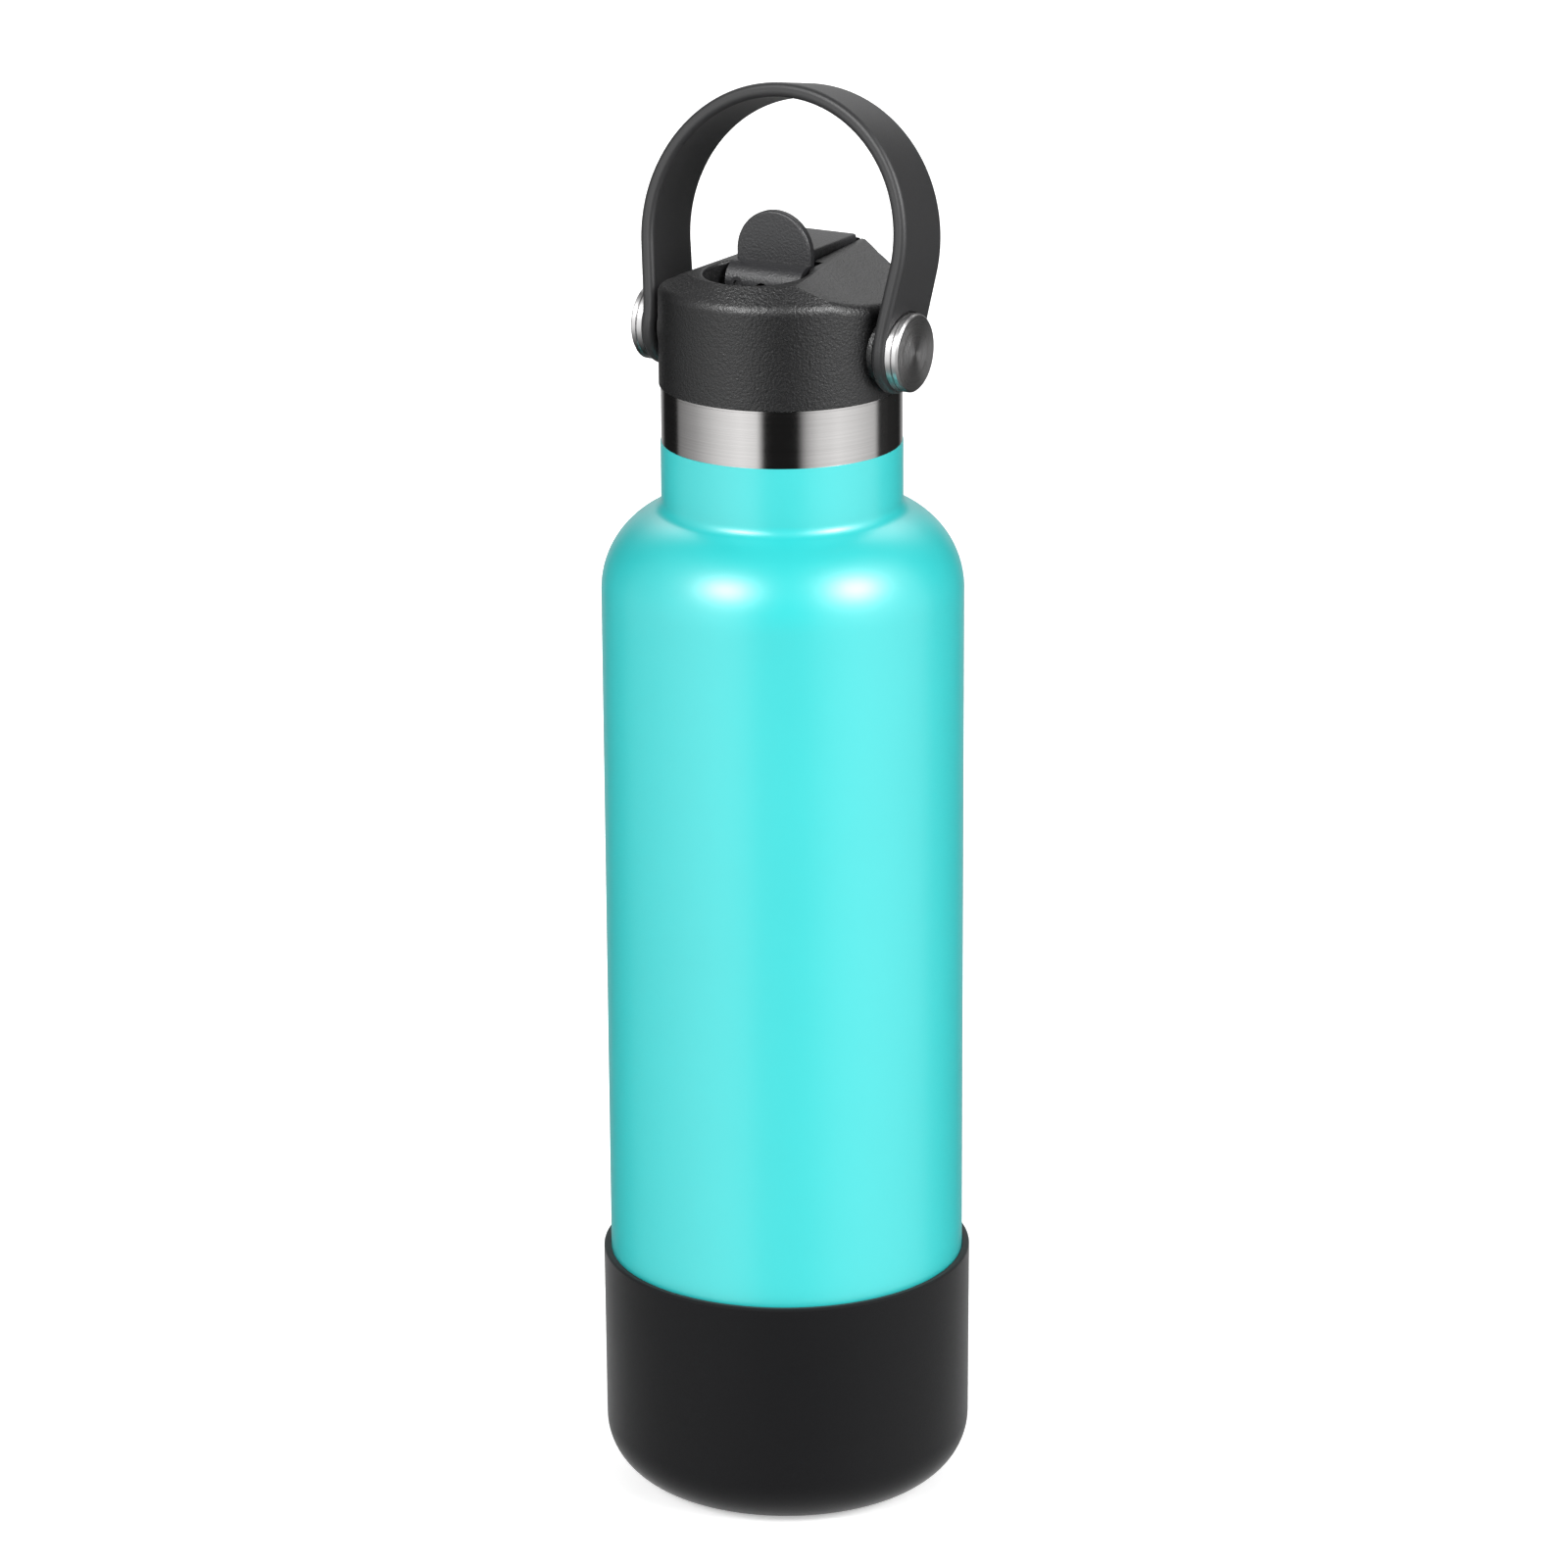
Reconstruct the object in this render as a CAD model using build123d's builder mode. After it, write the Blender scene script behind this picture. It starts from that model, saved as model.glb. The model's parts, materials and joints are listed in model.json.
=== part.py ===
"""Insulated bottle with a screw-in straw lid, a carry strap and a silicone boot.

Millimetres. The origin is the centre of the boot's underside and +Z runs up through
the mouth. The strap's pivots lie on a line along X, and the spout lies back along +Y.
"""
from build123d import *
from math import acos, asin, atan2, cos, hypot, radians, sin, sqrt, tan
import os

# Double-walled flask
body_radius = 36.5          # over the paint
coat_thickness = 0.15
shell_wall = 0.45
liner_wall = 0.4            # the inner flask is spun thinner than the shell
vacuum_gap = 2.0            # between the two walls along the body
floor_gap = 6.0             # between the shell's foot and the inner flask's foot
shoulder_start = 191.2      # where the straight wall ends
shoulder_radius = 17.9
neck_radius = 24.1          # of the bare steel neck
neck_root_radius = 2.9
base_corner = 8.5
paint_top = 221.8           # the paint stops on the neck here
neck_top = 233.3
liner_neck_radius = 22.9    # outside of the inner flask's neck
weld_gap = 0.03             # faces that are welded or glued together stay this far apart

# Boot
boot_floor = 2.5
boot_height = 50.0
boot_wall = 1.3
boot_flare = 0.15           # the wall is this much thicker at the lip
boot_corner = 12.0
boot_lip = 0.5
boot_recess_radius = 22.0
boot_recess_depth = 0.8
boot_fit = 0.08             # radial slack of the boot on the paint

# Base plate, with the vacuum seal
plate_radius = 26.0
plate_thickness = 0.6
plate_recess_radius = 19.0
plate_recess = 2.0
bead_radius = 2.4
bead_height = 0.9
evacuation_hole = 0.8
getter_cup_radius = 6.0
getter_cup_height = 2.6
getter_cup_wall = 0.3
getter_radius = 4.6
getter_height = 1.4

# Screw thread between the neck and the plug
thread_lead = 4.0
thread_height = 0.85
thread_root_width = 1.7
thread_crest_width = 0.8
thread_turns = 2.25
thread_start = 221.6        # the neck thread's first turn
thread_sink = 0.25          # how far a ridge is rooted in its wall
thread_clearance = 0.3      # between a crest and the wall that faces it

# Lid
lid_radius = 24.45
lid_gap = 0.25              # between the neck's rim and the skirt
lid_side_top = 253.4        # where the rim rounds over
lid_back_radius = 22.0      # the roof's radius behind, at its own height
lid_front_slope = 46.0      # degrees from level, of the cone that rises to the dish
roof_front = 257.7          # the roof's height at the front
roof_back = 259.2           # and at the back
roof_back_y = 21.0
ridge_front_x = 12.0
ridge_back_x = 7.4
ridge_front_y = -12.0
side_rim_height = 251.8     # where the sloping sides meet the skirt, at the pivots
lid_edge_radius = 2.6
ridge_edge_radius = 0.8
seat_radius = 23.5          # the pocket that holds the gasket and the plug's flange
cavity_radius = 22.0
cavity_top = 248.2
gasket_height = 1.8
gasket_bore = 21.5
flange_thickness = 1.9
seat_clearance = 0.1
dish_radius = 10.4          # the round dish that the thumb tab folds into
dish_y = -9.7
dish_floor = 253.9
dish_edge_radius = 0.6
vent_x = -17.3
vent_y = -10.8
vent_radius = 0.8
vent_share = 0.72           # the vent tube stands this share of the way out to the vent

# Spout
hinge_y = -3.6
hinge_z = 254.4
barrel_radius = 4.0
barrel_room = 0.7           # between the barrel and the floor of its pocket
port_angle = 20.0           # the bore's inlet points this far below level while the spout is down
boss_ring_radius = 1.3      # the small ring moulded on the barrel's front
boss_ring_height = 0.2
boss_ring_x = -5.7
tab_radius = 8.4
tab_tip = 268.6
tab_front = -3.0
tab_thickness = 2.0
tab_edge_radius = 0.5
spout_half_width = 6.1
spout_top = 260.4
spout_bottom = 252.8
spout_end = 20.0
spout_edge_radius = 0.7
spout_bore = 1.9
bore_elbow = 0.1            # the bore is this much wider where it turns, at the hinge
spout_relief = 4.6          # the underside starts this far behind the hinge
spout_slack = 0.4           # around the spout in its channel
pin_radius = 1.25
pin_depth = 4.0             # in the barrel
pin_reach = 2.9             # in the lid
running_fit = 0.05

# Straw, its socket, the seals and the foam
straw_radius = 3.9
straw_wall = 0.7
straw_bottom = 14.0
straw_cut_angle = 40.0
socket_fit = 0.05
socket_wall = 1.3
socket_depth = 15.0         # how far the straw goes in
socket_skirt = 3.0          # the socket hangs this far under the plug
plug_wall = 1.7
plug_floor = 2.0
plug_depth = 14.5           # below the neck's rim
seal_radius = 3.9
seal_flange_radius = 5.4
seal_flange = 1.5
seal_top = 252.2
seal_gap = 0.12             # between the seal's trough and the barrel
vent_tube_radius = 2.2
valve_radius = 1.9
valve_length = 4.2
foam_gap = 0.2

# Strap and its pivots
pivot_z = 242.8
boss_face = 24.5
boss_radius = 7.2
washer_thickness = 0.3
washer_radius = 6.4
strap_gap = 0.05
strap_thickness = 2.9
strap_arch_radius = 30.0    # outside of the arch
strap_arch_rise = 20.0      # from the pivots to the arch's centre
strap_bend_rise = 3.0       # the legs bend outward this far over the pivots
strap_bend_radius = 30.0
strap_width_top = 14.6
strap_width_end = 16.8
strap_edge_radius = 1.1
strap_lean = 10.4           # degrees back from upright
shoulder_bolt_radius = 3.3
bush_radius = 4.4
button_radius = 7.8
button_seat_gap = 0.3
button_base = 1.1
button_groove = 0.35
button_groove_depth = 0.5
button_cap = 1.15
button_bevel = 0.35
stud_radius = 1.85
stud_length = 4.3
insert_radius = 3.4
insert_length = 4.8

# Sizes that follow
shell_radius = body_radius - coat_thickness
shell_foot = boot_floor + boot_fit
liner_inset = shell_wall + vacuum_gap
plug_core_radius = liner_neck_radius - liner_wall - thread_height - thread_clearance
lid_bottom = neck_top + lid_gap
flange_bottom = neck_top + gasket_height
flange_top = flange_bottom + flange_thickness
plug_bottom = neck_top - plug_depth
socket_radius = straw_radius + socket_fit + socket_wall
strap_inner_x = boss_face + washer_thickness + strap_gap
strap_outer_x = strap_inner_x + strap_thickness
button_start = strap_outer_x + strap_gap
channel_floor = spout_bottom - spout_slack
pocket_floor = hinge_z - barrel_radius - barrel_room
channel_end = hinge_y + sqrt((spout_end - hinge_y) ** 2 + (spout_top - hinge_z) ** 2) + spout_slack
barrel_half_length = tab_radius
pocket_half_width = tab_radius + spout_slack


def flask_outline(inset, neck, foot, top):
    """Half the outline of a flask whose wall is inset from the shell's outside."""
    wall = shell_radius - inset
    shoulder = shoulder_radius - inset
    root = neck_root_radius + inset
    corner = base_corner - inset
    shoulder_x = wall - shoulder
    run = neck + root - shoulder_x
    rise = sqrt((shoulder + root) ** 2 - run**2)
    share = shoulder / (shoulder + root)
    blend = (shoulder_x + run * share, shoulder_start + rise * share)
    neck_start = (neck, shoulder_start + rise)
    Line((0, foot), (wall - corner, foot))
    RadiusArc((wall - corner, foot), (wall, foot + corner), -corner)
    Line((wall, foot + corner), (wall, shoulder_start))
    RadiusArc((wall, shoulder_start), blend, -shoulder)
    RadiusArc(blend, neck_start, root)
    Line(neck_start, (neck, top))
    Line((neck, top), (0, top))
    Line((0, top), (0, foot))


def thread_ridge(wall_radius, inward, start):
    """A helical ridge on a round wall, rooted thread_sink deep in it."""
    side = -1 if inward else 1
    path = Helix(pitch=thread_lead, height=thread_lead * thread_turns, radius=wall_radius,
                 center=(0, 0, start))
    section = Plane(origin=path @ 0, x_dir=(1, 0, 0), z_dir=path % 0)
    root, crest = thread_root_width / 2, thread_crest_width / 2
    with BuildPart() as ridge:
        with BuildLine():
            add(path)
        with BuildSketch(section):
            with BuildLine():
                Polyline((-side * thread_sink, -root), (0, -root), (side * thread_height, -crest),
                         (side * thread_height, crest), (0, root), (-side * thread_sink, root),
                         close=True)
            make_face()
        sweep(is_frenet=True)
    return ridge.part


def ring(outer, inner, bottom, top):
    """A plain tube about Z, added to the part in hand."""
    with BuildSketch(Plane.XY.offset(bottom)) as washer:
        Circle(outer)
        if inner:
            Circle(inner, mode=Mode.SUBTRACT)
    extrude(washer.sketch, amount=top - bottom)


os.makedirs("parts", exist_ok=True)
pieces = []


def keep(name, piece):
    """Label a finished piece and set it aside for export."""
    piece.part.label = name
    pieces.append((name, piece.part))


# ---- Flask ----
with BuildPart() as outer_shell:
    with BuildSketch(Plane.XZ):
        with BuildLine():
            flask_outline(0, neck_radius, shell_foot, neck_top - liner_wall - weld_gap)
        make_face()
        with BuildLine():
            flask_outline(shell_wall, neck_radius - shell_wall, shell_foot + shell_wall, neck_top)
        make_face(mode=Mode.SUBTRACT)
        with Locations((0, shell_foot)):
            Rectangle(2 * plate_radius, 2 * base_corner, mode=Mode.SUBTRACT)
    revolve(axis=Axis.Z)
keep("outer_shell", outer_shell)

with BuildPart() as powder_coat:
    with BuildSketch(Plane.XZ):
        with BuildLine():
            flask_outline(-coat_thickness, neck_radius + coat_thickness,
                          shell_foot - coat_thickness, paint_top)
        make_face()
        with BuildLine():
            flask_outline(0, neck_radius, shell_foot, neck_top)
        make_face(mode=Mode.SUBTRACT)
        with Locations((0, shell_foot)):
            Rectangle(2 * plate_radius, 2 * base_corner, mode=Mode.SUBTRACT)
    revolve(axis=Axis.Z)
keep("powder_coat", powder_coat)

with BuildPart() as inner_flask:
    liner_foot = shell_foot + floor_gap
    with BuildSketch(Plane.XZ):
        with BuildLine():
            flask_outline(liner_inset, liner_neck_radius, liner_foot, neck_top)
        make_face()
        with BuildLine():
            flask_outline(liner_inset + liner_wall, liner_neck_radius - liner_wall,
                          liner_foot + liner_wall, neck_top + liner_wall)
        make_face(mode=Mode.SUBTRACT)
        with Locations(((liner_neck_radius - liner_wall + neck_radius) / 2, neck_top - liner_wall / 2)):
            Rectangle(neck_radius - liner_neck_radius + liner_wall, liner_wall)
    revolve(axis=Axis.Z)
    add(thread_ridge(liner_neck_radius - liner_wall, True, thread_start))
keep("inner_flask", inner_flask)

with BuildPart() as base_cap:
    rim = plate_radius - weld_gap
    raised = shell_foot + plate_recess
    with BuildSketch(Plane.XZ):
        with BuildLine():
            Polyline((evacuation_hole, raised), (plate_recess_radius, raised),
                     (plate_recess_radius + plate_recess, shell_foot), (rim, shell_foot),
                     (rim, shell_foot + plate_thickness),
                     (plate_recess_radius + plate_recess + plate_thickness / 2, shell_foot + plate_thickness),
                     (plate_recess_radius + plate_thickness / 2, raised + plate_thickness),
                     (evacuation_hole, raised + plate_thickness), close=True)
        make_face()
    revolve(axis=Axis.Z)
keep("base_cap", base_cap)

with BuildPart() as seal_bead:
    with BuildSketch(Plane.XZ):
        with BuildLine():
            Line((0, raised + plate_thickness), (0, raised - bead_height))
            ThreePointArc((0, raised - bead_height), (bead_radius * 0.72, raised - bead_height * 0.62),
                          (bead_radius, raised - weld_gap))
            Polyline((bead_radius, raised - weld_gap), (evacuation_hole - weld_gap, raised - weld_gap),
                     (evacuation_hole - weld_gap, raised + plate_thickness), (0, raised + plate_thickness))
        make_face()
    revolve(axis=Axis.Z)
keep("seal_bead", seal_bead)

with BuildPart() as getter_cup:
    cup_floor = raised + plate_thickness + weld_gap
    ring(getter_cup_radius, bead_radius, cup_floor, cup_floor + getter_cup_wall)
    ring(getter_cup_radius, getter_cup_radius - getter_cup_wall, cup_floor, cup_floor + getter_cup_height)
keep("getter_cup", getter_cup)

with BuildPart() as getter_ring:
    getter_bottom = cup_floor + getter_cup_wall + weld_gap
    ring(getter_radius, bead_radius, getter_bottom, getter_bottom + getter_height)
keep("getter_ring", getter_ring)

# ---- Boot ----
with BuildPart() as boot:
    lip_radius = body_radius + boot_fit + boot_wall + boot_flare
    foot_radius = body_radius + boot_fit + boot_wall
    with BuildSketch(Plane.XZ):
        with BuildLine():
            Line((0, 0), (foot_radius - boot_corner, 0))
            RadiusArc((foot_radius - boot_corner, 0), (foot_radius, boot_corner), -boot_corner)
            Polyline((foot_radius, boot_corner), (lip_radius, boot_height), (0, boot_height), (0, 0))
        make_face()
        with BuildLine():
            flask_outline(-coat_thickness - boot_fit, neck_radius + coat_thickness + boot_fit,
                          shell_foot - coat_thickness, neck_top)
        make_face(mode=Mode.SUBTRACT)
        Rectangle(2 * boot_recess_radius, 2 * boot_recess_depth, mode=Mode.SUBTRACT)
    revolve(axis=Axis.Z)
    fillet(boot.edges().group_by(Axis.Z)[-1].sort_by(SortBy.RADIUS)[-1], boot_lip)
keep("boot", boot)

# ---- Lid: gasket, shell, plug ----
with BuildPart() as lid_gasket:
    ring(seat_radius - seat_clearance, gasket_bore, neck_top + weld_gap, flange_bottom - weld_gap)
    fillet(lid_gasket.edges().filter_by(GeomType.CIRCLE), gasket_height / 4)
keep("lid_gasket", lid_gasket)

with BuildPart() as lid_shell:
    # The round cap, with its top cut by a gently rising roof and two sloping sides
    with BuildSketch(Plane.XZ):
        with BuildLine():
            Polyline((0, lid_bottom), (lid_radius, lid_bottom), (lid_radius, lid_side_top),
                     (lid_back_radius, roof_front + 1), (lid_back_radius, spout_top), (0, spout_top),
                     close=True)
        make_face()
    revolve(axis=Axis.Z)
    roof_run = roof_back_y - ridge_front_y
    roof = Plane(origin=(0, ridge_front_y, roof_front), x_dir=(1, 0, 0),
                 z_dir=(0, roof_front - roof_back, roof_run))
    split(bisect_by=roof, keep=Keep.BOTTOM)
    for side in (-1, 1):
        ridge_line = Vector(side * (ridge_back_x - ridge_front_x), roof_run, roof_back - roof_front)
        fall = Vector(side * (lid_radius - ridge_front_x), -ridge_front_y, side_rim_height - roof_front)
        outward = ridge_line.cross(fall) * -side
        slope = Plane(origin=(side * ridge_front_x, ridge_front_y, roof_front), x_dir=ridge_line,
                      z_dir=outward)
        split(bisect_by=slope, keep=Keep.BOTTOM)
    cone_rise = spout_top - lid_side_top
    with BuildSketch(Plane.XZ):
        with BuildLine():
            Polyline((lid_radius, lid_side_top), (lid_radius + 1, lid_side_top), (lid_radius + 1, spout_top),
                     (lid_radius - cone_rise / tan(radians(lid_front_slope)), spout_top), close=True)
        make_face()
    revolve(axis=Axis.Z, revolution_arc=-180, mode=Mode.SUBTRACT)
    fillet(lid_shell.edges().filter_by(lambda e: e.center().Z > side_rim_height - 2
                                       and Vector(e.center().X, e.center().Y).length > lid_back_radius + 1
                                       and e.geom_type != GeomType.LINE), lid_edge_radius)
    fillet(lid_shell.edges().filter_by(GeomType.LINE).group_by(Axis.Z)[-1], ridge_edge_radius)
    # Bosses that the strap bears on
    with BuildSketch(Plane.YZ.offset(-boss_face)):
        with Locations((0, pivot_z)):
            Circle(boss_radius)
    extrude(amount=2 * boss_face)
    # The hollow underneath, stepped for the gasket and the plug's flange
    for radius, top in ((seat_radius, flange_top), (cavity_radius, cavity_top)):
        with BuildSketch(Plane.XY.offset(lid_bottom)):
            Circle(radius)
        extrude(amount=top - lid_bottom, mode=Mode.SUBTRACT)
    for side in (-1, 1):
        with BuildSketch(Plane.YZ.offset(side * (boss_face - insert_length - 1))):
            with Locations((0, pivot_z)):
                Circle(insert_radius + 1.6)
        extrude(amount=side * insert_length)
        with BuildSketch(Plane.YZ.offset(side * boss_face)):
            with Locations((0, pivot_z)):
                Circle(insert_radius + weld_gap)
        extrude(amount=-side * (insert_length + weld_gap), mode=Mode.SUBTRACT)
        with BuildSketch(Plane.YZ.offset(side * boss_face)):
            with Locations((0, pivot_z)):
                Circle(stud_radius + running_fit)
        extrude(amount=-side * (insert_length + 2), mode=Mode.SUBTRACT)
    # The dish in front, the hinge pocket and the channel that the spout lies in
    with BuildSketch(Plane.XY.offset(dish_floor)):
        with Locations((0, dish_y)):
            Circle(dish_radius)
    extrude(amount=spout_top - dish_floor, mode=Mode.SUBTRACT)
    fillet(lid_shell.edges().filter_by(GeomType.ELLIPSE).sort_by(SortBy.LENGTH)[-1], dish_edge_radius)
    with BuildSketch(Plane.XY.offset(pocket_floor)):
        with Locations((0, hinge_y)):
            Rectangle(2 * pocket_half_width, 2 * (spout_relief + spout_slack))
    extrude(amount=spout_top - pocket_floor + 1, mode=Mode.SUBTRACT)
    with BuildSketch(Plane.XY.offset(channel_floor)):
        with Locations((0, hinge_y)):
            Rectangle(2 * (spout_half_width + spout_slack), channel_end - hinge_y,
                      align=(Align.CENTER, Align.MIN))
    extrude(amount=spout_top - channel_floor + 1, mode=Mode.SUBTRACT)
    # Pin holes, the seal's hole and the vent
    with BuildSketch(Plane.YZ.offset(-pocket_half_width - pin_reach)):
        with Locations((hinge_y, hinge_z)):
            Circle(pin_radius + running_fit)
    extrude(amount=2 * (pocket_half_width + pin_reach), mode=Mode.SUBTRACT)
    with BuildSketch(Plane.XY.offset(cavity_top - 1)):
        with Locations((0, hinge_y)):
            Circle(seal_radius + weld_gap)
        with Locations((vent_x, vent_y)):
            Circle(vent_radius)
    extrude(amount=spout_top - cavity_top, mode=Mode.SUBTRACT)
keep("lid_shell", lid_shell)

with BuildPart() as thread_plug:
    straw_top = plug_bottom - socket_skirt + socket_depth
    tube_top = cavity_top - seal_flange - weld_gap
    # Flange, threaded wall and floor
    ring(seat_radius - seat_clearance, plug_core_radius - plug_wall, flange_bottom, flange_top - weld_gap)
    ring(plug_core_radius, plug_core_radius - plug_wall, plug_bottom, flange_bottom)
    with BuildSketch(Plane.XY.offset(plug_bottom)):
        Circle(plug_core_radius)
    extrude(amount=plug_floor)
    add(thread_ridge(plug_core_radius, False, thread_start - thread_lead / 2))
    # The straw's socket rises to the seal, and the vent tube to the lid's roof
    with BuildSketch(Plane.XY.offset(plug_bottom - socket_skirt)):
        with Locations((0, hinge_y)):
            Circle(socket_radius)
    extrude(amount=tube_top - plug_bottom + socket_skirt)
    with BuildSketch(Plane.XY.offset(plug_bottom)):
        with Locations((vent_x * vent_share, vent_y * vent_share)):
            Circle(vent_tube_radius + plug_wall / 2)
    extrude(amount=flange_bottom - plug_bottom)
    with BuildSketch(Plane.XY.offset(plug_bottom - socket_skirt)):
        with Locations((0, hinge_y)):
            Circle(straw_radius + socket_fit)
    extrude(amount=socket_depth + socket_fit, mode=Mode.SUBTRACT)
    with BuildSketch(Plane.XY.offset(plug_bottom - socket_skirt)):
        with Locations((0, hinge_y)):
            Circle(straw_radius - straw_wall)
        with Locations((vent_x * vent_share, vent_y * vent_share)):
            Circle(vent_tube_radius)
    extrude(amount=tube_top - plug_bottom + socket_skirt, mode=Mode.SUBTRACT)
keep("thread_plug", thread_plug)

with BuildPart() as lid_foam:
    ring(plug_core_radius - plug_wall - foam_gap, 0, plug_bottom + plug_floor + foam_gap, flange_bottom)
    with BuildSketch(Plane.XY.offset(plug_bottom)):
        with Locations((0, hinge_y)):
            Circle(socket_radius + foam_gap)
        with Locations((vent_x * vent_share, vent_y * vent_share)):
            Circle(vent_tube_radius + plug_wall / 2 + foam_gap)
    extrude(amount=cavity_top - plug_bottom, mode=Mode.SUBTRACT)
keep("lid_foam", lid_foam)

with BuildPart() as vent_valve:
    with BuildSketch(Plane.XY.offset(plug_bottom - valve_length / 2)):
        with Locations((vent_x * vent_share, vent_y * vent_share)):
            Circle(valve_radius)
    extrude(amount=valve_length)
    with BuildSketch(Plane.XY.offset(plug_bottom - weld_gap)):
        with Locations((vent_x * vent_share, vent_y * vent_share)):
            Circle(vent_tube_radius + plug_wall / 2)
    extrude(amount=-plug_wall / 2)
    with BuildSketch(Plane.XY.offset(plug_bottom - valve_length / 2 + plug_wall)):
        with Locations((vent_x * vent_share, vent_y * vent_share)):
            Circle(valve_radius / 2)
    extrude(amount=valve_length, mode=Mode.SUBTRACT)
keep("vent_valve", vent_valve)

with BuildPart() as spout_seal:
    with BuildSketch(Plane.XY.offset(cavity_top - seal_flange)):
        with Locations((0, hinge_y)):
            Circle(seal_flange_radius)
    extrude(amount=seal_flange - weld_gap)
    with BuildSketch(Plane.XY.offset(cavity_top - seal_flange)):
        with Locations((0, hinge_y)):
            Circle(seal_radius)
    extrude(amount=seal_top - cavity_top + seal_flange)
    with BuildSketch(Plane.YZ.offset(-seal_flange_radius)):
        with Locations((hinge_y, hinge_z)):
            Circle(barrel_radius + seal_gap)
    extrude(amount=2 * seal_flange_radius, mode=Mode.SUBTRACT)
    with BuildSketch(Plane.XY.offset(cavity_top - seal_flange)):
        with Locations((0, hinge_y)):
            Circle(spout_bore)
    extrude(amount=seal_top, mode=Mode.SUBTRACT)
keep("spout_seal", spout_seal)

with BuildPart() as straw:
    with BuildSketch(Plane.XY.offset(straw_bottom)):
        with Locations((0, hinge_y)):
            Circle(straw_radius)
            Circle(straw_radius - straw_wall, mode=Mode.SUBTRACT)
    extrude(amount=straw_top - straw_bottom)
    foot_cut = Plane(origin=(0, hinge_y - straw_radius, straw_bottom),
                     z_dir=(0, -sin(radians(straw_cut_angle)), cos(radians(straw_cut_angle))))
    split(bisect_by=foot_cut, keep=Keep.TOP)
keep("straw", straw)

# ---- Spout ----
with BuildPart() as spout:
    with BuildSketch(Plane.XZ.offset(-tab_front - tab_thickness)):
        with Locations((0, tab_tip - tab_radius)):
            Circle(tab_radius)
            Rectangle(2 * tab_radius, tab_radius, align=(Align.CENTER, Align.MAX), mode=Mode.SUBTRACT)
        with Locations((0, hinge_z)):
            Rectangle(2 * tab_radius, tab_tip - tab_radius - hinge_z, align=(Align.CENTER, Align.MIN))
    extrude(amount=tab_thickness)
    fillet(spout.edges().filter_by(lambda e: e.center().Z > hinge_z + 0.5), tab_edge_radius)
    with BuildSketch(Plane.YZ.offset(-barrel_half_length)):
        with Locations((hinge_y, hinge_z)):
            Circle(barrel_radius)
    extrude(amount=2 * barrel_half_length)
    with BuildSketch(Plane.YZ.offset(-spout_half_width)):
        with BuildLine():
            Polyline((tab_front + tab_thickness / 2, hinge_z), (tab_front + tab_thickness / 2, spout_top),
                     (spout_end, spout_top), (spout_end, spout_bottom),
                     (hinge_y + spout_relief + 1, spout_bottom), (hinge_y + spout_relief, hinge_z),
                     close=True)
        make_face()
    extrude(amount=2 * spout_half_width)
    # The corners round off, but not where the spout's root meets the tab
    fillet(spout.edges().filter_by(lambda e: e.center().Y > spout_end - 0.2
                                   or (e.geom_type == GeomType.LINE and e.center().Y > spout_relief
                                       and abs(e.center().X) > spout_half_width - 0.1
                                       and abs(e.center().Z - hinge_z) > 3)), spout_edge_radius)
    # The bore runs along the spout to the hinge, and out of the barrel a little below level
    port = Plane(origin=(0, hinge_y, hinge_z), x_dir=(1, 0, 0),
                 z_dir=(0, -cos(radians(port_angle)), -sin(radians(port_angle))))
    for start, length in ((Plane.XZ.offset(-spout_end).shift_origin((0, spout_end, hinge_z)),
                           spout_end - hinge_y),
                          (port, barrel_radius + 1)):
        with BuildSketch(start):
            Circle(spout_bore)
        extrude(amount=length, mode=Mode.SUBTRACT)
    with Locations((0, hinge_y, hinge_z)):
        Sphere(spout_bore + bore_elbow, mode=Mode.SUBTRACT)
    with BuildSketch(Plane.XZ.offset(barrel_radius + boss_ring_height - hinge_y)):
        with Locations((boss_ring_x, hinge_z)):
            Circle(boss_ring_radius)
    extrude(amount=-barrel_radius / 2)
    with BuildSketch(Plane.XZ.offset(barrel_radius + boss_ring_height - hinge_y)):
        with Locations((boss_ring_x, hinge_z)):
            Circle(boss_ring_radius / 2)
    extrude(amount=-2 * boss_ring_height, mode=Mode.SUBTRACT)
    for side in (-1, 1):
        with BuildSketch(Plane.YZ.offset(side * barrel_half_length)):
            with Locations((hinge_y, hinge_z)):
                Circle(pin_radius + weld_gap)
        extrude(amount=-side * (pin_depth + weld_gap), mode=Mode.SUBTRACT)
keep("spout", spout)

with BuildPart() as spout_pins:
    for side in (-1, 1):
        with BuildSketch(Plane.YZ.offset(side * (barrel_half_length - pin_depth))):
            with Locations((hinge_y, hinge_z)):
                Circle(pin_radius)
        extrude(amount=side * (pin_depth + pin_reach - running_fit))
keep("spout_pins", spout_pins)

# ---- Strap and pivots, with the strap built upright and then leaned back ----
pivot_line = Axis((0, 0, pivot_z), (1, 0, 0))


def leaned(piece):
    """Lean a piece of the strap back about its pivots."""
    return piece.rotate(pivot_line, -strap_lean)


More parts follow.
